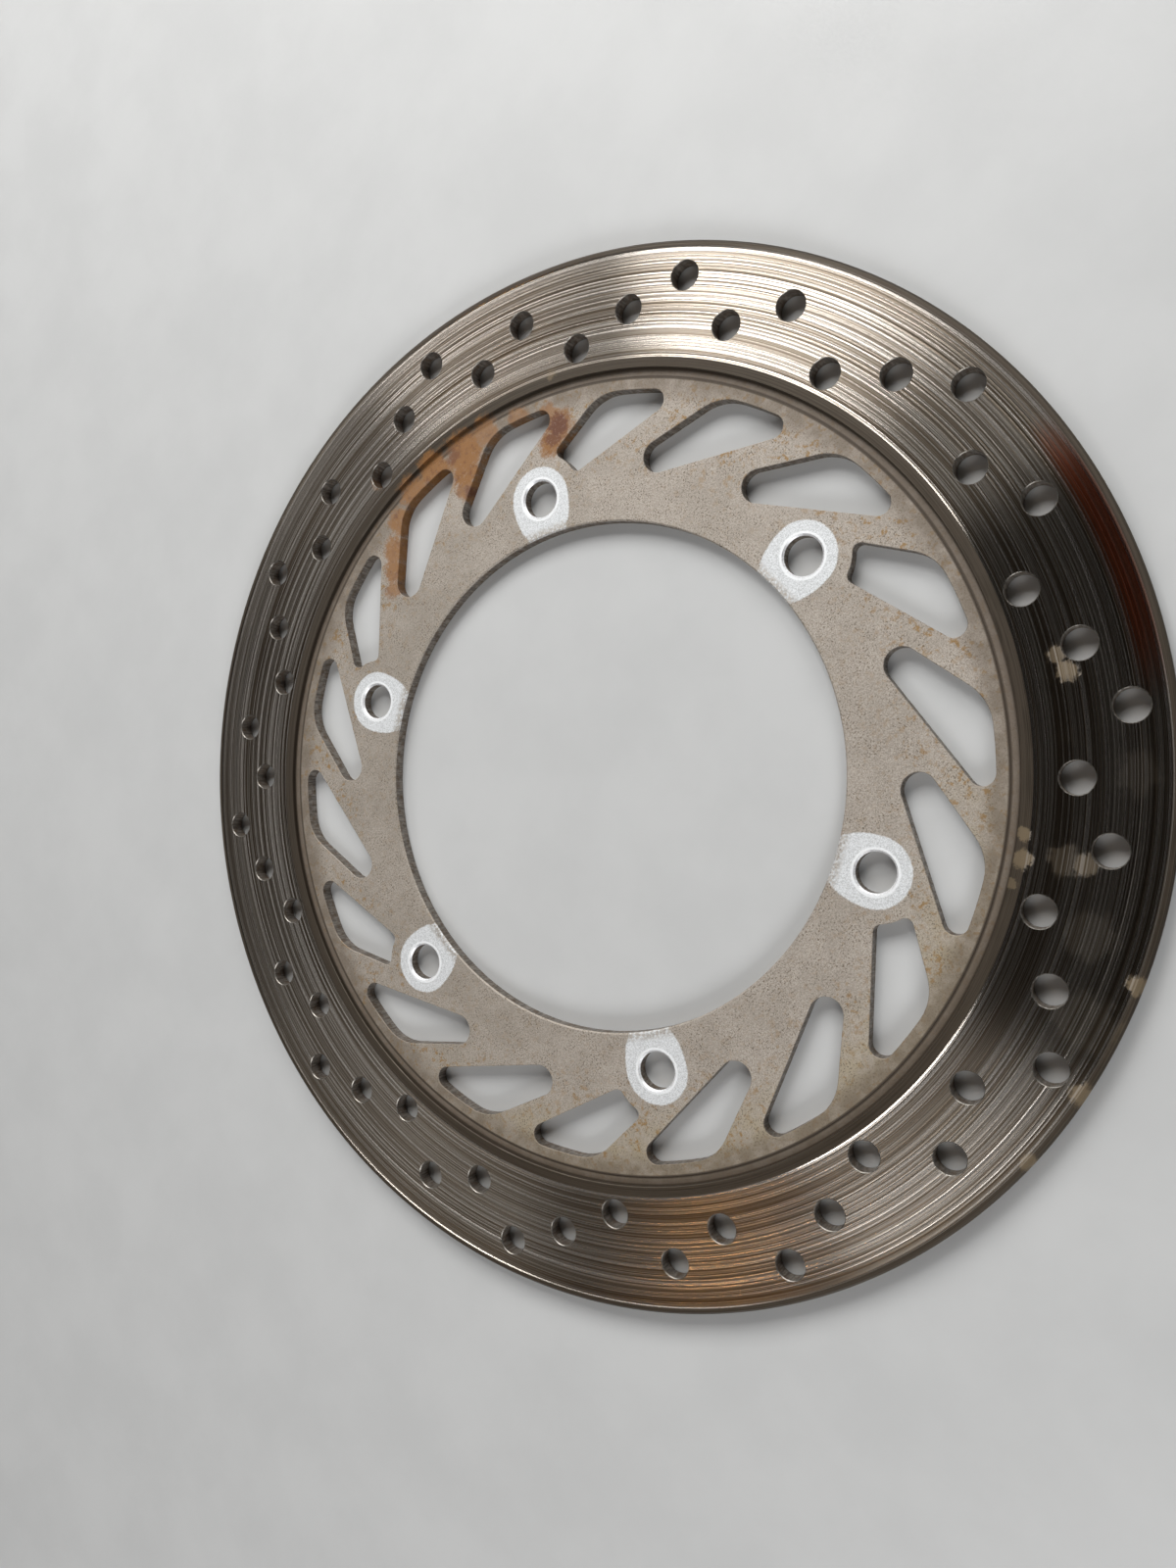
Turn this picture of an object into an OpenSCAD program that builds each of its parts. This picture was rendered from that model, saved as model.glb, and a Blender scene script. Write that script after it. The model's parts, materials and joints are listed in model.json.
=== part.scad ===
// Solid front brake disc of a motorcycle, cut and turned from one plate of stainless steel.
// The frame's origin is on the bore's axis at the back face, +Z leaves the face that meets the
// wheel hub, and +X runs through a bolt hole. Lengths are in millimetres.

/* [Friction ring] */
// Outer diameter of the disc
disc_d = 296; // [284:1:360]
// Radial width of the ring, from its inner step to the outer edge
ring_w = 34; // [30:0.5:38]
// Thickness of the ring where no pad rubs
ring_t = 5; // [4:0.1:7]
// Chamfer on the disc's outer edges
rim_chamfer = 0.6; // [0.2:0.1:1]

/* [Worn tracks] */
// Depth that the pads have worn into each face
wear_depth = 0.2; // [0.05:0.05:0.4]
// Radial run of the slope at each side of a track
wear_run = 0.4; // [0.2:0.1:0.8]
// Unworn margin inside the track
wear_inner_margin = 2.8; // [1.5:0.1:4]
// Unworn margin outside the track
wear_outer_margin = 1.6; // [1.2:0.1:2]

/* [Drilled holes] */
// Diameter of the drilled holes
drill_d = 8; // [5:0.1:9]
// Chamfer where a drilled hole meets the worn track
drill_chamfer = 0.2; // [0.1:0.05:0.4]
// Number of times that the group of holes repeats
drill_groups = 10; // [6:1:11]
// Metal between the innermost holes and the track's inner edge
drill_inner_land = 1.4; // [0.8:0.1:3]
// Metal between the outermost holes and the track's outer edge
drill_outer_land = 3.8; // [1:0.1:5]

/* [Hub flange] */
// Thickness of the flange
flange_t = 4; // [3:0.1:4.5]
// Diameter of the pilot bore
bore_d = 144; // [136:0.5:148]
// Chamfer on the bore's edges
bore_chamfer = 0.4; // [0.1:0.1:0.8]
// Diameter of the circle that the bolt holes lie on
bolt_pcd = 166; // [163:0.5:172]
// Diameter of the bolt holes
bolt_hole_d = 10.5; // [6.5:0.1:12.5]
// Chamfer on the bolt holes' edges
bolt_chamfer = 0.5; // [0.1:0.1:0.8]
// Width of the relief groove between the flange and the ring
relief_w = 2.4; // [1:0.1:4]
// Depth of the relief groove below the flange's face
relief_depth = 0.3; // [0.1:0.1:0.8]

/* [Windows] */
// Metal between the windows and the ring's inner step
window_rim = 5.7; // [5:0.1:8]
// Solid width of the flange between the bore and the windows' tips
hub_w = 13.7; // [10:0.1:16]
// Radius of a window's inner tip
window_tip_r = 4.5; // [3:0.1:5]
// Radius of a window's narrow outer corner
window_corner_r = 3.2; // [1.5:0.1:4]
// Radius of a window's wide outer corner
window_shoulder_r = 13; // [8:0.5:15]
// Angle from a window's tip back to its narrow outer corner
window_corner_lag = 17.4; // [15:0.1:20]
// Angle from a window's tip back to its wide outer corner
window_shoulder_lag = 11.1; // [8:0.1:12]
// Radius of the solid boss kept round each bolt hole
boss_r = 13; // [10:0.5:14]
// Radius of the corners where a boss cuts a window short
boss_fillet_r = 2; // [1:0.1:2.5]

/* [Hidden] */
$fn = 180;

// How far a cutter runs past the metal
over = 1;
bolt_count = 6;
// Windows from one bolt hole to the next, and the tip's angle in the first of them
windows_per_bolt = 3;
window_start = 14.6;
// Angle of each drilled hole in a group, and the row that it lies in, counted outwards
drill_angles = [-0.6, 6.3, 13.8, 21.5, 28.6];
drill_rows = [4, 2, 0, 3, 1];
// Largest angle between two points of a rounded corner, and of the windows' outer edge
corner_step = 7.5;
rim_step = 1;

disc_r = disc_d / 2;
bore_r = bore_d / 2;
ring_inner_r = disc_r - ring_w;
track_inner_r = ring_inner_r + wear_inner_margin;
track_outer_r = disc_r - wear_outer_margin;
track_back_z = wear_depth;
track_front_z = ring_t - wear_depth;
relief_inner_r = ring_inner_r - relief_w;
relief_z = flange_t - relief_depth;

drill_first_r = track_inner_r + drill_inner_land + drill_d / 2;
drill_last_r = track_outer_r - drill_outer_land - drill_d / 2;
drill_row_step = (drill_last_r - drill_first_r) / (len(drill_rows) - 1);

window_outer_r = ring_inner_r - window_rim;
window_tip_centre_r = bore_r + hub_w + window_tip_r;
window_pitch = 360 / (bolt_count * windows_per_bolt);
bolt_pitch = 360 / bolt_count;

// Point at a radius and an angle from the disc's axis
function polar(r, a) = r * [cos(a), sin(a)];

// Direction of a vector
function heading(v) = atan2(v[1], v[0]);

// The same angle, between -180 and 180
function wrapped(a) = a - 360 * round(a / 360);

// Points of an arc from one direction to another, by the shorter way round
function arc(centre, r, from, to, step) =
    let (turn = wrapped(to - from), n = max(1, ceil(abs(turn) / step)))
    [for (i = [0:n]) centre + polar(r, from + turn * i / n)];

// Outward direction of the straight side that touches two corner circles, on the right of the way
// from the first to the second
function side_normal(c1, r1, c2, r2) = heading(c2 - c1) - acos((r1 - r2) / norm(c2 - c1));

// Centre of the fillet between a straight side and the boss. The side touches the circle of
// radius r at c, its outward direction is n, and towards is 1 to look along it and -1 to look back
function boss_fillet(c, r, n, boss, towards) =
    let (
        along = towards * polar(1, n + 90),
        start = c + polar(r - boss_fillet_r, n),
        w = start - boss,
        b = w * along,
        reach = boss_r + boss_fillet_r
    )
    start + (sqrt(b * b - w * w + reach * reach) - b) * along;

// Outline of the window whose tip lies at the angle a, anticlockwise
function window_outline(a) =
    let (
        tip = polar(window_tip_centre_r, a),
        corner_a = a - window_corner_lag,
        corner = polar(window_outer_r - window_corner_r, corner_a),
        shoulder_a = a - window_shoulder_lag,
        shoulder = polar(window_outer_r - window_shoulder_r, shoulder_a),
        near_n = side_normal(tip, window_tip_r, corner, window_corner_r),
        far_n = side_normal(shoulder, window_shoulder_r, tip, window_tip_r),
        boss = polar(bolt_pcd / 2, bolt_pitch * round(a / bolt_pitch)),
        cut_short = norm(tip - boss) < boss_r + window_tip_r,
        near_f = boss_fillet(tip, window_tip_r, near_n, boss, 1),
        far_f = boss_fillet(tip, window_tip_r, far_n, boss, -1),
        inner_end = cut_short
            ? concat(
                arc(far_f, boss_fillet_r, far_n, heading(boss - far_f), corner_step),
                arc(boss, boss_r, heading(far_f - boss), heading(near_f - boss), corner_step),
                arc(near_f, boss_fillet_r, heading(boss - near_f), near_n, corner_step))
            : concat(
                arc(tip, window_tip_r, far_n, a + 180, corner_step),
                arc(tip, window_tip_r, a + 180, near_n, corner_step))
    )
    concat(
        inner_end,
        arc(corner, window_corner_r, near_n, corner_a, corner_step),
        arc([0, 0], window_outer_r, corner_a, shoulder_a, rim_step),
        arc(shoulder, window_shoulder_r, shoulder_a, far_n, corner_step));

// Round hole through the metal from bottom to top, chamfered at both ends
module chamfered_hole(r, bottom, top, chamfer) {
    translate([0, 0, bottom - over]) cylinder(r = r, h = top - bottom + 2 * over);
    translate([0, 0, top - chamfer]) cylinder(r1 = r, r2 = r + chamfer + over, h = chamfer + over);
    translate([0, 0, bottom - over]) cylinder(r1 = r + chamfer + over, r2 = r, h = chamfer + over);
}

// Turned blank: flange, relief groove, ring and the two worn tracks
module blank() {
    rotate_extrude() polygon([
        [bore_r, bore_chamfer],
        [bore_r + bore_chamfer, 0],
        [track_inner_r, 0],
        [track_inner_r + wear_run, track_back_z],
        [track_outer_r - wear_run, track_back_z],
        [track_outer_r, 0],
        [disc_r - rim_chamfer, 0],
        [disc_r, rim_chamfer],
        [disc_r, ring_t - rim_chamfer],
        [disc_r - rim_chamfer, ring_t],
        [track_outer_r, ring_t],
        [track_outer_r - wear_run, track_front_z],
        [track_inner_r + wear_run, track_front_z],
        [track_inner_r, ring_t],
        [ring_inner_r, ring_t],
        [ring_inner_r, relief_z],
        [relief_inner_r, relief_z],
        [relief_inner_r, flange_t],
        [bore_r + bore_chamfer, flange_t],
        [bore_r, flange_t - bore_chamfer],
    ]);
}

module drilled_holes() {
    for (g = [0:drill_groups - 1], i = [0:len(drill_rows) - 1]) {
        rotate([0, 0, 360 * g / drill_groups + drill_angles[i] * 10 / drill_groups])
            translate([drill_first_r + drill_rows[i] * drill_row_step, 0, 0])
                chamfered_hole(drill_d / 2, track_back_z, track_front_z, drill_chamfer);
    }
}

module bolt_holes() {
    for (i = [0:bolt_count - 1]) {
        rotate([0, 0, i * bolt_pitch]) translate([bolt_pcd / 2, 0, 0])
            chamfered_hole(bolt_hole_d / 2, 0, flange_t, bolt_chamfer);
    }
}

module windows() {
    for (i = [0:bolt_count * windows_per_bolt - 1]) {
        translate([0, 0, -over]) linear_extrude(height = flange_t + 2 * over)
            polygon(window_outline(window_start + i * window_pitch));
    }
}

module brake_disc() {
    color([0.58, 0.55, 0.52]) difference() {
        blank();
        drilled_holes();
        bolt_holes();
        windows();
    }
}

brake_disc();
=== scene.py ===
"""A worn motorcycle brake disc lying on a pale table.

The disc is turned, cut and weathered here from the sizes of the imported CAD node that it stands
for. Lengths are in millimetres, and MM turns them into Blender's metres. Angles are in degrees,
anticlockwise seen from the hub face, from the bolt hole on +X.
"""

import json
import math

import bmesh
import bpy
import numpy as np
from mathutils import Matrix, Vector


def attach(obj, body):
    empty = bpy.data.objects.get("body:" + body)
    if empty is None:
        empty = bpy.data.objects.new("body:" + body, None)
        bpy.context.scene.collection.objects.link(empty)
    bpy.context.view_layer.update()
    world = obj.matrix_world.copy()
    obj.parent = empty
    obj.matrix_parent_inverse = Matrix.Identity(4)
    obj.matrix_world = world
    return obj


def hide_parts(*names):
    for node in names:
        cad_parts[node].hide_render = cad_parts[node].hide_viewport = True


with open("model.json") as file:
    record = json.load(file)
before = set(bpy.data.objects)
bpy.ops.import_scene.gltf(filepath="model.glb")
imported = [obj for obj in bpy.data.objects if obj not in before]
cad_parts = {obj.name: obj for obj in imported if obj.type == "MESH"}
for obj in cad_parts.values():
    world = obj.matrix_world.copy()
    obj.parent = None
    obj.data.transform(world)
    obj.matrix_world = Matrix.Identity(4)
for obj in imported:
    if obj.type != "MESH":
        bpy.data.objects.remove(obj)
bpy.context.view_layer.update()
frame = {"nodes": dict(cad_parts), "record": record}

MM = 0.001
SLACK = 0.005            # mm within which two heights or radii count as the same


# ---------------------------------------------------------------------------------------------
# Sizes and outlines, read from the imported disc
# ---------------------------------------------------------------------------------------------

def mount(name):
    return next(m for m in frame["record"]["mounts"] if m["name"] == name)


def merged_copy(node):
    """The CAD node's mesh as a bmesh, with its split corners joined."""
    bm = bmesh.new()
    bm.from_mesh(frame["nodes"][node].data)
    bmesh.ops.remove_doubles(bm, verts=bm.verts, dist=0.001 * MM)
    bm.normal_update()
    return bm


def turned_radii(points, height):
    """Radii, inwards to outwards, of the turned circles that the points at this height form."""
    fewest = 41
    level = points[np.abs(points[:, 2] - height) < SLACK]
    radii, counts = np.unique(np.round(np.hypot(level[:, 0], level[:, 1]), 2), return_counts=True)
    return [float(radius) for radius, count in zip(radii, counts) if count >= fewest]


def rim_loops(bm, height):
    """Outlines, as arrays of x and y in mm, of what is cut into the flat face at this height."""
    steep, flat = 0.8, 0.99
    neighbours = {}
    for edge in bm.edges:
        if any(abs(vert.co.z / MM - height) > SLACK for vert in edge.verts):
            continue
        steepest, flattest = sorted(abs(face.normal.z) for face in edge.link_faces)
        if steepest < steep and flattest > flat:
            a, b = edge.verts
            neighbours.setdefault(a, []).append(b)
            neighbours.setdefault(b, []).append(a)
    loops = []
    seen = set()
    for start in sorted(neighbours, key=lambda vert: vert.index):
        if start in seen:
            continue
        loop = []
        here = start
        while here is not None:
            seen.add(here)
            loop.append(here.co.xy / MM)
            here = next((vert for vert in neighbours[here] if vert not in seen), None)
        loops.append(anticlockwise(np.array(loop)))
    return loops


def anticlockwise(loop):
    x, y = loop.T
    area = np.sum(x * np.roll(y, -1) - np.roll(x, -1) * y) / 2
    return loop if area > 0 else loop[::-1]


def spread(loop):
    """The middle of a loop, and how far its furthest point lies from there."""
    middle = (loop.min(0) + loop.max(0)) / 2
    return middle, float(np.hypot(*(loop - middle).T).max())


BORE_R = mount("pilot_bore")["dims"]["r_mm"]
BOLT_CIRCLE_R = mount("hub_bolts")["dims"]["pcd_mm"] / 2
BOLT_HOLE_R = mount("hub_bolts")["dims"]["hole_r_mm"]
BOLT_COUNT = mount("hub_bolts")["dims"]["count"]
FLANGE_T = mount("hub_face")["pos_m"][2] / MM
TRACK_Z = mount("front_pad_track")["pos_m"][2] / MM

cad = merged_copy("brake_disc")
cad_points = np.array([vert.co for vert in cad.verts]) / MM
RING_T = float(cad_points[:, 2].max())
DISC_R = float(np.hypot(cad_points[:, 0], cad_points[:, 1]).max())
RING_INNER_R, TRACK_INNER_R, TRACK_OUTER_R, RIM_R = turned_radii(cad_points, RING_T)
FLOOR_INNER_R, FLOOR_OUTER_R = turned_radii(cad_points, TRACK_Z)
BORE_RIM_R, *_, RELIEF_INNER_R = turned_radii(cad_points, FLANGE_T)
WEAR = RING_T - TRACK_Z
RIM_CHAMFER = DISC_R - RIM_R
BORE_CHAMFER = BORE_RIM_R - BORE_R
at_wall = np.abs(np.hypot(cad_points[:, 0], cad_points[:, 1]) - RING_INNER_R) < SLACK
RELIEF_Z = float(cad_points[at_wall, 2].min())

LARGEST_BOLT_RIM = 8     # windows reach further than this from their middle, bolt holes don't
flange_cuts = [loop for loop in rim_loops(cad, FLANGE_T) if spread(loop)[1] < BORE_R]
WINDOWS = [loop for loop in flange_cuts if spread(loop)[1] > LARGEST_BOLT_RIM]
BOLT_HOLES = [spread(loop) for loop in flange_cuts if spread(loop)[1] < LARGEST_BOLT_RIM]
DRILLED = [spread(loop) for loop in rim_loops(cad, TRACK_Z)]
DRILL_R = float(np.hypot(*(cad_points[:, :2] - DRILLED[0][0]).T).min())
cad.free()


# ---------------------------------------------------------------------------------------------
# The disc's mesh: a turned blank less its holes and windows
# ---------------------------------------------------------------------------------------------

TURNED_STEPS = 480
HOLE_STEPS = 56
EDGE_BREAK = 0.15
CUTTER_REACH = 1.0       # how far the cutters stick out of the disc
SHARP_ANGLE = 25

FRONT_GROOVES = 30
BACK_GROOVES = 14
GROOVE_SEED = 11
GROOVE_PLACE = (0.35, 0.65)       # lowest and highest, as a share of the step between grooves
GROOVE_HALF_WIDTH = (0.10, 0.30)  # as a share of the step too
GROOVE_DEPTH = (0.01, 0.05)


def mesh_object(name, points, faces):
    """A new object in the scene from points in mm."""
    mesh = bpy.data.meshes.new(name)
    mesh.from_pydata((np.array(points) * MM).tolist(), [], faces)
    mesh.update()
    made = bpy.data.objects.new(name, mesh)
    bpy.context.scene.collection.objects.link(made)
    return made


def grooved(inner, outer, level, into, count, draw):
    """Profile points from inner to outer along a swept track scored by shallow round grooves."""
    points = []
    step = (outer - inner) / count
    for i in range(count):
        middle = inner + (i + draw.uniform(*GROOVE_PLACE)) * step
        half = draw.uniform(*GROOVE_HALF_WIDTH) * step
        depth = draw.uniform(*GROOVE_DEPTH)
        points += [(middle - half, level), (middle, level + into * depth), (middle + half, level)]
    return points


def blank_profile():
    """The disc's section as (radius, height) points: out along the back and in along the front."""
    draw = np.random.default_rng(GROOVE_SEED)
    back = grooved(FLOOR_INNER_R, FLOOR_OUTER_R, WEAR, 1, BACK_GROOVES, draw)
    front = grooved(FLOOR_INNER_R, FLOOR_OUTER_R, TRACK_Z, -1, FRONT_GROOVES, draw)
    return [
        (BORE_RIM_R, 0), (RELIEF_INNER_R, 0), (TRACK_INNER_R, 0), (FLOOR_INNER_R, WEAR),
        *back,
        (FLOOR_OUTER_R, WEAR), (TRACK_OUTER_R, 0), (RIM_R, 0), (DISC_R, RIM_CHAMFER),
        (DISC_R, RING_T - RIM_CHAMFER), (RIM_R, RING_T), (TRACK_OUTER_R, RING_T), (FLOOR_OUTER_R, TRACK_Z),
        *reversed(front),
        (FLOOR_INNER_R, TRACK_Z), (TRACK_INNER_R, RING_T), (RING_INNER_R + EDGE_BREAK, RING_T),
        (RING_INNER_R, RING_T - EDGE_BREAK), (RING_INNER_R, RELIEF_Z), (RELIEF_INNER_R, RELIEF_Z),
        (RELIEF_INNER_R, FLANGE_T - EDGE_BREAK), (RELIEF_INNER_R - EDGE_BREAK, FLANGE_T),
        (BORE_RIM_R, FLANGE_T), (BORE_R, FLANGE_T - BORE_CHAMFER), (BORE_R, BORE_CHAMFER),
    ]


def turned(name, profile, steps):
    """A closed solid: the profile turned about the disc's axis."""
    turns = np.linspace(0, 2 * math.pi, steps, endpoint=False)
    points = [(r * math.cos(a), r * math.sin(a), z) for a in turns for r, z in profile]
    count = len(profile)
    faces = []
    for i in range(steps):
        here = i * count
        there = (i + 1) % steps * count
        for j in range(count):
            k = (j + 1) % count
            faces.append((here + j, there + j, there + k, here + k))
    return mesh_object(name, points, faces)


def outset(loop, distance):
    """The loop with each side moved outwards by distance."""
    along = np.roll(loop, -1, axis=0) - loop
    along /= np.linalg.norm(along, axis=1, keepdims=True)
    after = np.stack([along[:, 1], -along[:, 0]], axis=1)
    before = np.roll(after, 1, axis=0)
    mitre = (before + after) / (1 + np.sum(before * after, axis=1, keepdims=True))
    return loop + distance * mitre


def circle(centre, radius):
    """A loop round a hole."""
    turns = np.linspace(0, 2 * math.pi, HOLE_STEPS, endpoint=False)
    return centre + radius * np.stack([np.cos(turns), np.sin(turns)], axis=1)


def cutter(loop, bottom, top, chamfer):
    """Layers of a cutter that leaves a chamfer where it breaks through each face."""
    flare = chamfer + CUTTER_REACH
    heights = [bottom - CUTTER_REACH, bottom + chamfer, top - chamfer, top + CUTTER_REACH]
    return [(outset(loop, out), z) for out, z in zip([flare, 0, 0, flare], heights)]


def cutters():
    """The cutters of all windows and holes, in one object."""
    stacks = [cutter(loop, 0, FLANGE_T, EDGE_BREAK) for loop in WINDOWS]
    for centre, rim in BOLT_HOLES:
        stacks.append(cutter(circle(centre, BOLT_HOLE_R), 0, FLANGE_T, rim - BOLT_HOLE_R))
    for centre, rim in DRILLED:
        stacks.append(cutter(circle(centre, DRILL_R), WEAR, TRACK_Z, rim - DRILL_R))
    points, faces = [], []
    for stack in stacks:
        start, count = len(points), len(stack[0][0])
        for loop, z in stack:
            points += [(x, y, z) for x, y in loop]
        for layer in range(len(stack) - 1):
            low = start + layer * count
            for j in range(count):
                k = (j + 1) % count
                faces.append((low + j, low + k, low + count + k, low + count + j))
        faces.append(tuple(range(start + count - 1, start - 1, -1)))
        last = start + (len(stack) - 1) * count
        faces.append(tuple(range(last, last + count)))
    return mesh_object("cutters", points, faces)


def disc_mesh():
    """The disc, without its materials."""
    disc = turned("disc", blank_profile(), TURNED_STEPS)
    tool = cutters()
    cut = disc.modifiers.new("cut", "BOOLEAN")
    cut.operation = "DIFFERENCE"
    cut.solver = "MANIFOLD"
    cut.object = tool
    evaluated = disc.evaluated_get(bpy.context.evaluated_depsgraph_get())
    finished = bpy.data.meshes.new_from_object(evaluated)
    disc.modifiers.clear()
    disc.data = finished
    bpy.data.objects.remove(tool)
    finished.shade_smooth()
    finished.set_sharp_from_angle(angle=math.radians(SHARP_ANGLE))
    return disc


# ---------------------------------------------------------------------------------------------
# Materials
# ---------------------------------------------------------------------------------------------

PHOTO_TURN = 43          # a bearing in the photograph less this is the angle from the +X bolt hole

# Bare steel, from its darkest to its palest
SWEPT_DARK, SWEPT_MID, SWEPT_PALE = (0.115, 0.085, 0.058, 1), (0.27, 0.235, 0.195, 1), (0.66, 0.61, 0.56, 1)
MARGIN_DARK, MARGIN_PALE = (0.034, 0.026, 0.018, 1), (0.085, 0.070, 0.053, 1)
FLANGE_DARK, FLANGE_PALE = (0.29, 0.255, 0.220, 1), (0.47, 0.425, 0.375, 1)
WALL_DARK, WALL_PALE = (0.13, 0.115, 0.10, 1), (0.30, 0.27, 0.24, 1)
EDGE_DARK, EDGE_PALE = (0.12, 0.11, 0.095, 1), (0.30, 0.285, 0.26, 1)

# The pale contact marks at the bolt holes
PAD_DULL, PAD_PALE, PAD_RING = (0.46, 0.475, 0.485, 1), (0.74, 0.76, 0.78, 1), (0.90, 0.92, 0.94, 1)
BOLT_EDGE_DULL, BOLT_EDGE_PALE = (0.66, 0.67, 0.69, 1), (0.92, 0.93, 0.95, 1)

# What lies on the steel, with painted shade mixed into some of it
RUST_DARK = (0.115, 0.040, 0.018, 1)
RUST_LIGHT = (0.235, 0.110, 0.034, 1)
OCHRE = (0.26, 0.150, 0.045, 1)
TAN = (0.34, 0.285, 0.185, 1)
# Darker tone of the flange's random clouds, also used as painted shade towards the left
CLOUD_AND_SHADE = (0.20, 0.175, 0.14, 1)
SPECK = (0.13, 0.10, 0.07, 1)
SOOT = (0.15, 0.12, 0.09, 1)
# Dirt and painted shade in the corner of the relief groove
GROOVE_DIRT_AND_SHADE = (0.11, 0.085, 0.065, 1)
WALL_FILM = (0.12, 0.075, 0.040, 1)
RESIDUE = (0.26, 0.20, 0.125, 1)
# Grime on the margin, also used as painted shade along the flange's steps
GRIME_AND_SHADE = (0.050, 0.036, 0.024, 1)
BURNT = (0.40, 0.085, 0.030, 1)


def polar(radius, bearing):
    """Where a spot seen at this bearing in the photograph lies, in mm."""
    turn = math.radians(bearing - PHOTO_TURN)
    return radius * math.cos(turn), radius * math.sin(turn)


class Shader:
    """One material's node tree. Patterns are measured in mm on the disc."""

    def __init__(self, name):
        self.material = bpy.data.materials.new(name)
        self.material.use_nodes = True
        self.tree = self.material.node_tree
        self.surface = self.tree.nodes["Principled BSDF"]
        place = self.node("ShaderNodeTexCoord").outputs["Object"]
        self.place = self.vector("SCALE", place, scale=1 / MM)
        parts = self.node("ShaderNodeSeparateXYZ", {"Vector": self.place})
        self.x, self.y, self.z = parts.outputs
        self.radius = self.math("SQRT", self.math("ADD", self.math("MULTIPLY", self.x, self.x),
                                                  self.math("MULTIPLY", self.y, self.y)))

    def node(self, kind, inputs=None, **settings):
        node = self.tree.nodes.new(kind)
        for key, value in settings.items():
            setattr(node, key, value)
        for key, value in (inputs or {}).items():
            if isinstance(value, bpy.types.NodeSocket):
                self.tree.links.new(value, node.inputs[key])
            else:
                node.inputs[key].default_value = value
        return node

    def set(self, **inputs):
        """Sets or links the surface's sockets, named with _ for a space."""
        for key, value in inputs.items():
            socket = self.surface.inputs[key.replace("_", " ")]
            if isinstance(value, bpy.types.NodeSocket):
                self.tree.links.new(value, socket)
            else:
                socket.default_value = value

    def math(self, operation, a, b=0.0, c=0.0):
        return self.node("ShaderNodeMath", {0: a, 1: b, 2: c}, operation=operation).outputs[0]

    def vector(self, operation, a, b=(0, 0, 0), scale=1.0):
        inputs = {0: a, "Scale": scale} if operation == "SCALE" else {0: a, 1: b}
        node = self.node("ShaderNodeVectorMath", inputs, operation=operation)
        return node.outputs["Value" if operation in ("LENGTH", "DISTANCE") else "Vector"]

    def combined(self, x, y, z):
        """A vector from its parts."""
        return self.node("ShaderNodeCombineXYZ", {0: x, 1: y, 2: z}).outputs[0]

    def fade(self, value, low, high, to_low=0.0, to_high=1.0):
        """value mapped smoothly from low..high to to_low..to_high, and held outside."""
        return self.node("ShaderNodeMapRange", {"Value": value, "From Min": low, "From Max": high,
                                                "To Min": to_low, "To Max": to_high},
                         interpolation_type="SMOOTHSTEP").outputs[0]

    def noise(self, size, detail=3.0, roughness=0.55, at=None):
        """Noise from about 0.2 to 0.8 whose lumps are about size mm."""
        return self.node("ShaderNodeTexNoise", {"Vector": at or self.place, "Scale": 1 / size,
                                                "Detail": detail, "Roughness": roughness}).outputs["Fac"]

    def arcs(self, width, length, seed=0.0):
        """Where to look up noise so that its lumps become arcs about the axis.

        An arc is width mm wide and length radians long."""
        across = self.math("DIVIDE", self.radius, width)
        turn_x = self.math("DIVIDE", self.math("DIVIDE", self.x, self.radius), length)
        turn_y = self.math("DIVIDE", self.math("DIVIDE", self.y, self.radius), length)
        return self.combined(self.math("ADD", across, seed), turn_x, turn_y)

    def mix(self, share, a, b):
        """Colour a turning into colour b as share goes from 0 to 1."""
        a_socket, b_socket, mixed = 6, 7, 2
        node = self.node("ShaderNodeMix", {0: share, a_socket: a, b_socket: b}, data_type="RGBA")
        return node.outputs[mixed]

    def ramp(self, value, stops):
        """A colour ramp through (position, colour) stops."""
        node = self.node("ShaderNodeValToRGB", {"Fac": value})
        elements = node.color_ramp.elements
        while len(elements) < len(stops):
            elements.new(0.5)
        for element, (position, colour) in zip(elements, stops):
            element.position = position
            element.color = colour
        return node.outputs["Color"]

    def spot(self, radius, bearing, size):
        """1 in a ragged spot at a bearing in the photograph, 0 well outside it."""
        edge, raggedness = 0.3, 5.0
        x, y = polar(radius, bearing)
        apart = self.vector("DISTANCE", self.combined(self.x, self.y, 0.0), (x, y, 0))
        ragged = self.math("ADD", apart, self.math("MULTIPLY", self.warp, raggedness + size))
        return self.fade(ragged, size * (1 + edge), size * (1 - edge))

    def spots(self, places):
        """The strongest of several spots, each (radius, bearing, size, strength)."""
        strongest = 0.0
        for radius, bearing, size, strength in places:
            one = self.math("MULTIPLY", self.spot(radius, bearing, size), strength)
            strongest = self.math("MAXIMUM", one, strongest)
        return strongest

    def beside(self, bearing, reach):
        """1 near a bearing in the photograph, fading to 0 at reach degrees to either side."""
        x, y = polar(1, bearing)
        along = self.math("ADD", self.math("MULTIPLY", self.x, x), self.math("MULTIPLY", self.y, y))
        cosine = self.math("DIVIDE", along, self.radius)
        return self.fade(cosine, math.cos(math.radians(reach)), math.cos(math.radians(reach / 3)))

    def band(self, middle, width):
        """1 at a radius, fading to 0 half of width mm to either side."""
        apart = self.math("ABSOLUTE", self.math("SUBTRACT", self.radius, middle))
        return self.fade(apart, width / 2, width / 6)

    @property
    def warp(self):
        """Noise about 0 that makes outlines ragged, shared by everything in this tree."""
        if not hasattr(self, "_warp"):
            self._warp = self.math("SUBTRACT", self.noise(3.0, 6.0, 0.8), 0.5)
        return self._warp

    def bump(self, height, depth):
        """A normal from a height of 0 to 1 that stands for depth mm."""
        return self.node("ShaderNodeBump", {"Height": height, "Distance": depth * MM,
                                            "Strength": 1.0}).outputs["Normal"]


# The heat-tinted arc, by its middle radius, its width, its bearing in the photograph and its reach
BURNT_R, BURNT_WIDTH, BURNT_BEARING, BURNT_REACH = 143.6, 8.0, 21, 15

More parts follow.
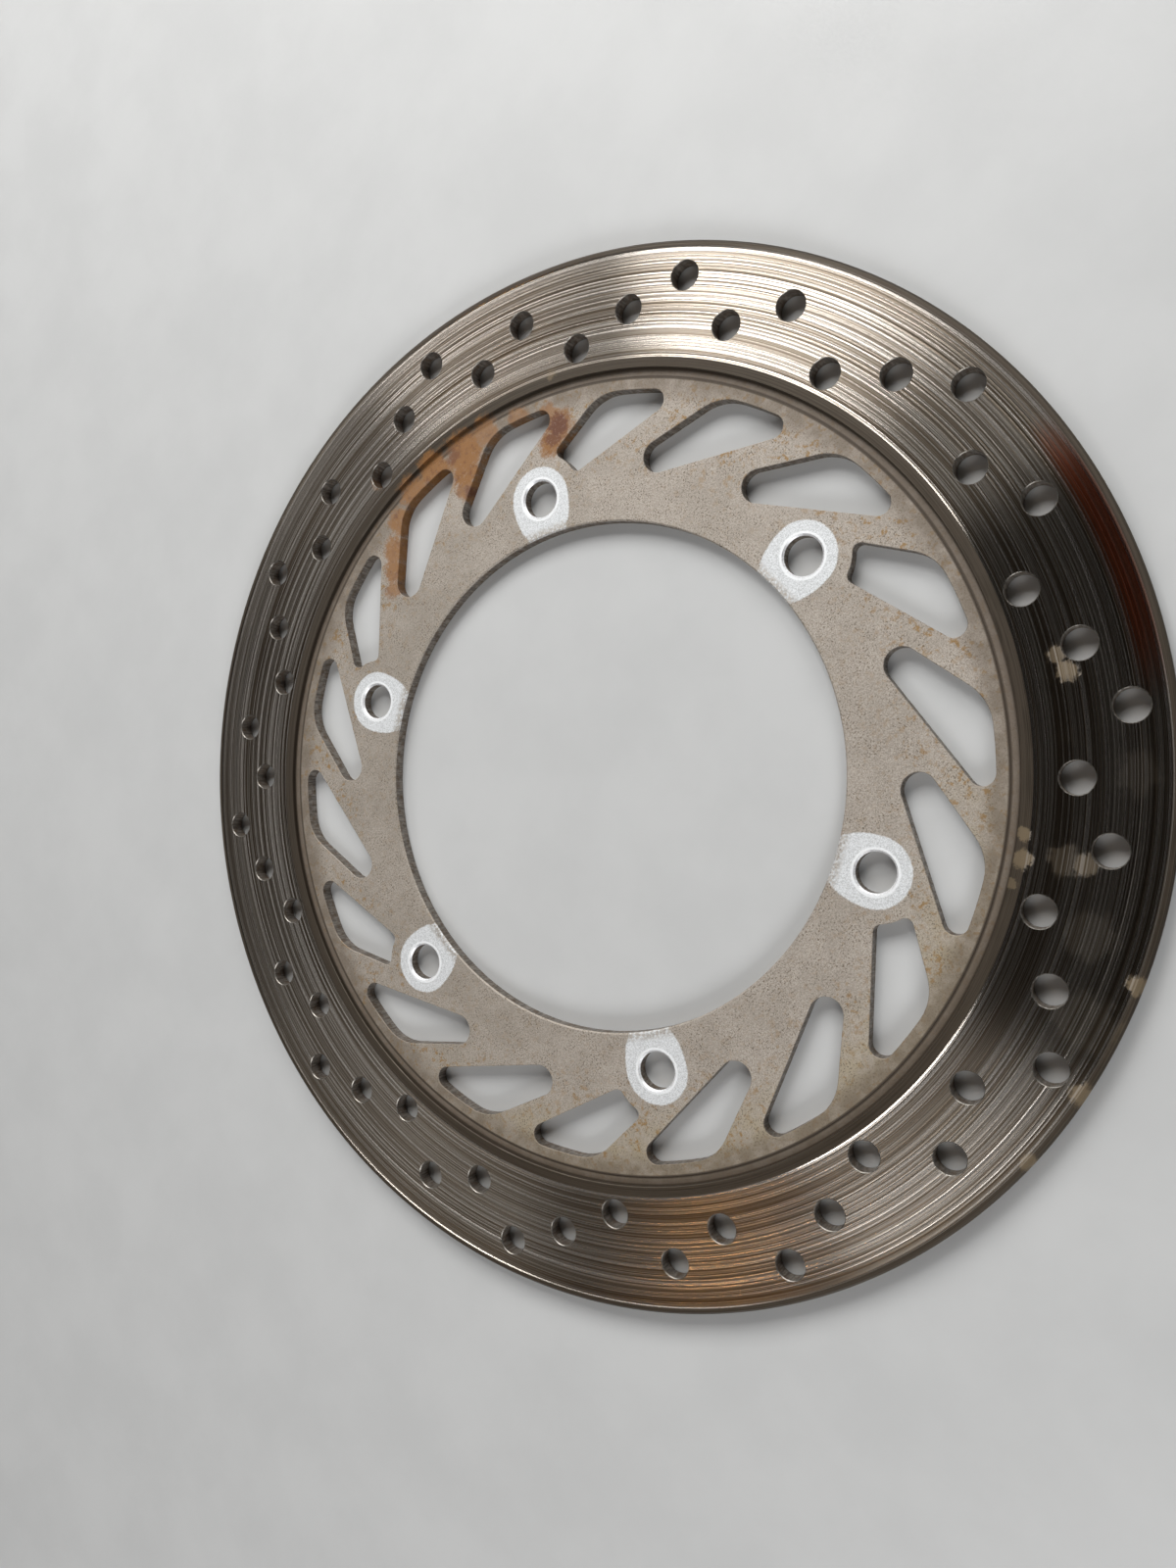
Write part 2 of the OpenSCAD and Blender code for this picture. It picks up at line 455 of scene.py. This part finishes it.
# Spots by (radius, bearing in the photograph, size, strength)
RUST_SPOTS = [
    (102, 97, 4.6, 1.0), (98, 99, 3.8, 1.0), (106, 99, 3.6, 0.8), (109, 104, 3.4, 0.7),
    (110, 110, 4.4, 0.8), (108, 115, 6.5, 1.0), (103, 116, 5.0, 1.0), (98, 117, 3.8, 0.9),
    (110, 121, 5.5, 1.0), (109, 126, 5.4, 0.9), (106, 131, 4.6, 0.9), (101, 135, 4.4, 0.9),
    (97, 138, 3.8, 0.9), (94, 141, 2.8, 0.8), (122, 130, 2.4, 0.5),
]
RUST_CORES = [(102, 97, 3.4, 1.0), (99, 98.5, 2.4, 0.8), (110, 117, 2.6, 0.7), (97, 117, 1.6, 0.9)]
RESIDUE_SPOTS = [
    (125, 12.8, 2.2, 0.5), (126.3, 11.0, 2.4, 0.6), (115.6, -7, 1.6, 0.6), (116.2, -10, 2.2, 0.6),
    (114.6, -13, 1.4, 0.5), (125, -9, 3.4, 0.25), (129.5, -9.3, 2.8, 0.4), (139, 0, 5.0, 0.12),
    (134, -16, 6.0, 0.14), (140, -24, 7.0, 0.14), (130, -40, 7.0, 0.10), (146.5, -19, 2.2, 0.6),
    (147, -30, 2.6, 0.6), (147, -38, 2.2, 0.5), (117, 97, 1.5, 0.4),
]


def rusted(shader, colour):
    """The colour under rust in the spots, and how much of it is rust."""
    worn = shader.fade(shader.noise(0.7, 4.0, 0.7), 0.30, 0.46, 0.62, 1.0)
    cover = shader.math("MULTIPLY", shader.spots(RUST_SPOTS), worn)
    patches = shader.fade(shader.noise(2.4, 6.0, 0.75), 0.48, 0.68, 0.0, 0.7)
    tint = shader.mix(shader.math("MAXIMUM", patches, shader.spots(RUST_CORES)), RUST_LIGHT, RUST_DARK)
    return shader.mix(cover, colour, tint), cover


def swept_steel():
    """The pads' tracks: steel scoured in circles, which spreads its highlights along the radius."""
    s = Shader("swept_steel")
    rings = s.noise(1.0, 3.0, 0.7, at=s.arcs(1.1, 4.0))
    lines = s.noise(1.0, 2.0, 0.6, at=s.arcs(0.34, 2.0, seed=40.0))
    hairs = s.noise(1.0, 2.0, 0.6, at=s.arcs(0.16, 0.9, seed=90.0))
    finer = s.math("ADD", s.math("MULTIPLY", lines, 0.42), s.math("MULTIPLY", hairs, 0.33))
    score = s.math("ADD", s.math("MULTIPLY", rings, 0.25), finer)
    steel = s.ramp(s.fade(score, 0.41, 0.60), [(0.0, SWEPT_DARK), (0.5, SWEPT_MID), (1.0, SWEPT_PALE)])
    burnt = s.math("MULTIPLY", s.band(BURNT_R, BURNT_WIDTH), s.beside(BURNT_BEARING, BURNT_REACH))
    steel = s.mix(s.math("MULTIPLY", burnt, s.fade(rings, 0.3, 0.6, 0.6, 0.9)), steel, BURNT)
    film = s.math("MULTIPLY", s.fade(s.noise(7.0, 5.0, 0.65), 0.50, 0.72), 0.06)
    residue = s.math("MAXIMUM", s.spots(RESIDUE_SPOTS), film)
    colour, rust = rusted(s, s.mix(residue, steel, RESIDUE))
    matt = s.math("MAXIMUM", residue, rust)
    along_arcs = s.node("ShaderNodeTangent", direction_type="RADIAL", axis="Z").outputs[0]
    s.set(Base_Color=colour, Metallic=s.fade(matt, 0.0, 1.0, 1.0, 0.1), Anisotropic=1.0,
          Anisotropic_Rotation=0.25, Roughness=s.fade(score, 0.36, 0.64, 0.33, 0.25),
          Tangent=along_arcs,
          Normal=s.bump(s.math("ADD", lines, s.math("MULTIPLY", hairs, 0.35)), 0.04))
    return s.material


def margin_steel():
    """The ring's unswept edges and its rim: turned steel under a thin brown film."""
    s = Shader("margin_steel")
    marks = s.noise(1.0, 3.0, 0.6, at=s.arcs(0.25, 0.8))
    film = s.noise(1.0, 4.0, 0.6, at=s.arcs(1.5, 0.1))
    steel = s.mix(s.fade(marks, 0.35, 0.65), MARGIN_DARK, MARGIN_PALE)
    colour = s.mix(s.fade(film, 0.40, 0.65, 0.2, 0.6), steel, GRIME_AND_SHADE)
    colour = s.mix(s.spots(RESIDUE_SPOTS), colour, RESIDUE)
    colour, _ = rusted(s, colour)
    s.set(Base_Color=colour, Metallic=0.55, Roughness=s.fade(film, 0.35, 0.65, 0.42, 0.58),
          Normal=s.bump(marks, 0.008))
    return s.material


def flange_steel():
    """The blasted hub flange, with its pale contact marks at the bolt holes, painted shade towards the
    left, and dirt and painted shade along its steps.
    """
    s = Shader("flange_steel")
    grain = s.noise(0.30, 3.0, 0.65)
    clouds = s.noise(12.0, 4.0, 0.6)
    patches = s.noise(5.0, 4.0, 0.6)
    outwards = s.fade(s.radius, 88, 108)
    steel = s.mix(s.fade(grain, 0.34, 0.66), FLANGE_DARK, FLANGE_PALE)
    # Painted shade: the flange is darker towards bearing 190, on the left, where less light falls, as well
    # as in random clouds.
    shade = s.math("ADD", s.beside(190, 100), s.fade(clouds, 0.38, 0.62))
    steel = s.mix(s.math("MULTIPLY", shade, 0.20), steel, CLOUD_AND_SHADE)
    tan = s.math("MULTIPLY", s.beside(300, 75), outwards)
    steel = s.mix(s.math("MULTIPLY", tan, s.fade(patches, 0.36, 0.60, 0.25, 0.75)), steel, TAN)
    specks = s.fade(s.noise(0.50, 3.0, 0.6), 0.545, 0.61)
    steel = s.mix(s.math("MULTIPLY", specks, s.fade(patches, 0.40, 0.58, 0.30, 0.90)), steel, SPECK)
    stain = s.math("MULTIPLY", s.fade(s.noise(1.7, 5.0, 0.65), 0.53, 0.63),
                   s.fade(s.radius, 80, 98, 0.2, 1.0))
    steel = s.mix(s.math("MULTIPLY", stain, s.fade(clouds, 0.40, 0.56, 0.35, 0.85)), steel, OCHRE)
    soot = s.math("MULTIPLY", s.fade(s.radius, 103, 110), s.fade(patches, 0.35, 0.60, 0.50, 0.80))
    steel = s.mix(soot, steel, SOOT)
    # Dirt and painted shade: a dark line in the corner of the relief groove at its inner step.
    groove = s.fade(s.radius, RELIEF_INNER_R - 0.2, RELIEF_INNER_R + 0.2, 0.0, 0.65)
    steel = s.mix(groove, steel, GROOVE_DIRT_AND_SHADE)
    # Dirt and painted shade: dark lines along both steps, where the step walls shade the flange.
    for line in (RELIEF_INNER_R, RING_INNER_R):
        steel = s.mix(s.math("MULTIPLY", s.band(line, 1.4), 0.9), steel, GRIME_AND_SHADE)
    colour, rust = rusted(s, steel)
    pad, ring = contact_pads(s)
    white = s.mix(s.fade(s.noise(0.3, 4.0, 0.7), 0.36, 0.60), PAD_DULL, PAD_PALE)
    white = s.mix(s.math("MULTIPLY", ring, 0.7), white, PAD_RING)
    s.set(Base_Color=s.mix(pad, colour, white), Metallic=s.fade(rust, 0.0, 1.0, 0.3, 0.05),
          Roughness=s.fade(grain, 0.3, 0.7, 0.5, 0.7),
          Normal=s.bump(s.math("SUBTRACT", grain, s.math("MULTIPLY", specks, 0.5)), 0.03))
    return s.material


def contact_pads(s):
    """Where the hub's bosses touched: the whole pads, and the polished ring at each bolt hole.

    A pad is round outside its hole, and half an ellipse from there towards the bore."""
    pad_r, pad_reach, ring_r = 9.3, 15.0, 6.4
    step = 2 * math.pi / BOLT_COUNT
    bearing = s.math("ARCTAN2", s.y, s.x)
    sector = s.math("ROUND", s.math("DIVIDE", bearing, step))
    turned = s.math("SUBTRACT", bearing, s.math("MULTIPLY", sector, step))
    along = s.math("SUBTRACT", s.math("MULTIPLY", s.radius, s.math("COSINE", turned)), BOLT_CIRCLE_R)
    aside = s.math("MULTIPLY", s.radius, s.math("SINE", turned))
    lengthwise = s.math("MAXIMUM", along, s.math("MULTIPLY", along, -pad_r / pad_reach))
    edge = s.vector("LENGTH", s.combined(lengthwise, aside, 0.0))
    ragged = s.math("ADD", edge, s.math("MULTIPLY", s.math("SUBTRACT", s.noise(0.7, 5.0, 0.7), 0.5), 0.8))
    worn = s.math("MULTIPLY", s.fade(s.noise(0.6, 4.0, 0.7), 0.44, 0.52), s.fade(along, -8.0, -10.0))
    pad = s.math("SUBTRACT", s.fade(ragged, pad_r + 0.25, pad_r - 0.25), s.math("MULTIPLY", worn, 0.8))
    ring = s.fade(s.vector("LENGTH", s.combined(along, aside, 0.0)), ring_r + 0.2, ring_r - 0.2)
    return pad, ring


def cut_steel():
    """Walls of the bore, windows and holes: dark drawn steel, rusty where the flange is."""
    s = Shader("cut_steel")
    across, down = 0.5, 4.0
    drawn = s.combined(s.math("DIVIDE", s.x, across), s.math("DIVIDE", s.y, across),
                       s.math("DIVIDE", s.z, down))
    cuts = s.noise(1.0, 4.0, 0.6, at=drawn)
    film = s.noise(1.8, 5.0, 0.65)
    steel = s.mix(s.fade(cuts, 0.35, 0.65), WALL_DARK, WALL_PALE)
    colour = s.mix(s.fade(film, 0.42, 0.68, 0.0, 0.7), steel, WALL_FILM)
    colour, _ = rusted(s, colour)
    s.set(Base_Color=colour, Metallic=0.7, Roughness=s.fade(film, 0.3, 0.7, 0.4, 0.6),
          Normal=s.bump(cuts, 0.02))
    return s.material


def edge_steel():
    """Machined chamfers of the round holes, rubbed bright."""
    s = Shader("edge_steel")
    marks = s.noise(0.5, 4.0, 0.6)
    colour = s.mix(s.fade(marks, 0.35, 0.65), EDGE_DARK, EDGE_PALE)
    s.set(Base_Color=colour, Metallic=0.8, Roughness=s.fade(marks, 0.3, 0.7, 0.3, 0.45),
          Normal=s.bump(marks, 0.01))
    return s.material


def bolt_edge_steel():
    """Chamfers of the bolt holes: whitish, as the contact pads round them."""
    s = Shader("bolt_edge_steel")
    marks = s.noise(0.4, 4.0, 0.6)
    colour = s.mix(s.fade(marks, 0.35, 0.65), BOLT_EDGE_DULL, BOLT_EDGE_PALE)
    s.set(Base_Color=colour, Metallic=0.4, Roughness=s.fade(marks, 0.3, 0.7, 0.35, 0.5),
          Normal=s.bump(marks, 0.008))
    return s.material


ZONES = [swept_steel, margin_steel, flange_steel, cut_steel, edge_steel, bolt_edge_steel]


def zone_of(radius, slope, bolt_distance):
    """Which of ZONES each face belongs to, by number.

    A face is known by its middle's radius, by slope, which is 0 on a wall and 1 on a flat face, and
    by how far its middle is from the nearest bolt hole's."""
    wall_slope, flat_slope, beside_step = 0.3, 0.85, 0.1
    walls = slope < wall_slope
    chamfers = (slope >= wall_slope) & (slope < flat_slope)
    on_track = (radius > TRACK_INNER_R) & (radius < TRACK_OUTER_R)
    zone = np.full(len(radius), ZONES.index(margin_steel))
    zone[on_track] = ZONES.index(swept_steel)
    zone[radius < RING_INNER_R - 0.01] = ZONES.index(flange_steel)
    inside_cut = walls & (radius < RIM_R)
    for step in (RING_INNER_R, RELIEF_INNER_R):
        inside_cut &= np.abs(radius - step) >= beside_step
    zone[inside_cut] = ZONES.index(cut_steel)
    zone[chamfers & on_track] = ZONES.index(edge_steel)
    zone[chamfers & (bolt_distance < LARGEST_BOLT_RIM)] = ZONES.index(bolt_edge_steel)
    return zone


def finish_disc(disc):
    """Gives each face of the disc the material of its zone."""
    mesh = disc.data
    count = len(mesh.polygons)
    middles = np.zeros(count * 3, np.float32)
    mesh.polygons.foreach_get("center", middles)
    middles = middles.reshape(-1, 3) / MM
    normals = np.zeros(count * 3, np.float32)
    mesh.polygons.foreach_get("normal", normals)
    slopes = np.abs(normals.reshape(-1, 3)[:, 2])
    holes = np.array([centre for centre, _ in BOLT_HOLES])
    apart = np.linalg.norm(middles[:, None, :2] - holes[None], axis=2).min(1)
    zones = zone_of(np.hypot(middles[:, 0], middles[:, 1]), slopes, apart)
    mesh.materials.clear()
    for zone in ZONES:
        mesh.materials.append(zone())
    mesh.polygons.foreach_set("material_index", zones.astype(np.int32))


# ---------------------------------------------------------------------------------------------
# Table, light and camera
# ---------------------------------------------------------------------------------------------

def table():
    """A plain pale table top under the disc."""
    half = 2000
    dark, pale = (0.46, 0.468, 0.472, 1), (0.49, 0.498, 0.502, 1)
    top = mesh_object("table", [(-half, -half, 0), (half, -half, 0), (half, half, 0), (-half, half, 0)],
                      [(0, 1, 2, 3)])
    s = Shader("table_top")
    mottle = s.noise(40.0, 4.0, 0.6)
    fine = s.noise(0.8, 3.0, 0.6)
    s.set(Base_Color=s.mix(s.fade(mottle, 0.3, 0.7), dark, pale),
          Roughness=s.fade(fine, 0.3, 0.7, 0.45, 0.6), Normal=s.bump(fine, 0.01))
    top.data.materials.append(s.material)


def toward(bearing, elevation):
    """Unit vector at a bearing in the photograph and an elevation above the table."""
    turn, up = math.radians(bearing - PHOTO_TURN), math.radians(elevation)
    return Vector((math.cos(turn) * math.cos(up), math.sin(turn) * math.cos(up), math.sin(up)))


DAYLIGHT = (1.0, 0.99, 0.97)
NEUTRAL = (1.0, 1.0, 1.0)
WARM = (1.0, 0.56, 0.22)
LIGHT_DISTANCE = 1500
# Soft boxes: name, bearing in the photograph, elevation, width, height (mm), watts, colour
LIGHTS = [
    ("window", 99, 38, 760, 690, 21, DAYLIGHT),
    ("window_side", 130, 30, 600, 450, 3.8, DAYLIGHT),
    ("window_edge", 62, 28, 600, 450, 7.0, DAYLIGHT),
    ("left", 152, 36, 700, 600, 0.8, NEUTRAL),
    ("far_left", 190, 40, 900, 500, 1.0, NEUTRAL),
    ("bottom_left", 248, 28, 900, 450, 0.5, NEUTRAL),
    ("bottom", 294, 30, 900, 500, 13, NEUTRAL),
    ("bottom_high", 272, 50, 700, 450, 1.2, NEUTRAL),
    ("lamp", 222, 61, 60, 60, 0.35, WARM),
]
WORLD = (0.018, 0.017, 0.016)


def light():
    """The soft boxes round the disc, and the dim room beyond them."""
    for name, bearing, elevation, width, height, watts, colour in LIGHTS:
        data = bpy.data.lights.new(name, "AREA")
        data.shape = "RECTANGLE"
        data.size, data.size_y = width * MM, height * MM
        data.energy, data.color = watts, colour
        lamp = bpy.data.objects.new(name, data)
        away = toward(bearing, elevation)
        lamp.location = away * LIGHT_DISTANCE * MM
        lamp.rotation_euler = away.to_track_quat("Z", "Y").to_euler()
        bpy.context.scene.collection.objects.link(lamp)
    world = bpy.data.worlds.new("studio")
    world.use_nodes = True
    world.node_tree.nodes["Background"].inputs["Color"].default_value = (*WORLD, 1)
    bpy.context.scene.world = world


CAMERA_TARGET = Vector((-3.0, 0.1, RING_T))
CAMERA_TURN, CAMERA_ELEVATION, CAMERA_DISTANCE = -43.31, 60.63, 331.4
CAMERA_UP_TURN = 46.9    # the way, seen from above, that is up in the picture
CAMERA_LENS = 26.9
SENSOR_WIDTH = 36


def camera():
    """A camera where the photograph was taken from."""
    turn, up_turn = math.radians(CAMERA_TURN), math.radians(CAMERA_UP_TURN)
    rise = math.radians(CAMERA_ELEVATION)
    back = Vector((math.cos(turn) * math.cos(rise), math.sin(turn) * math.cos(rise), math.sin(rise)))
    right = Vector((math.cos(up_turn), math.sin(up_turn), 0)).cross(back).normalized()
    up = back.cross(right)
    data = bpy.data.cameras.new("camera")
    data.lens = CAMERA_LENS
    data.sensor_width = SENSOR_WIDTH
    made = bpy.data.objects.new("camera", data)
    made.matrix_world = (Matrix.Translation((CAMERA_TARGET + back * CAMERA_DISTANCE) * MM)
                         @ Matrix((right, up, back)).transposed().to_4x4())
    bpy.context.scene.collection.objects.link(made)
    bpy.context.scene.camera = made


disc = disc_mesh()
finish_disc(disc)
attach(disc, "root")
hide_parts("brake_disc")
table()
light()
camera()
bpy.context.scene.view_settings.view_transform = "Standard"
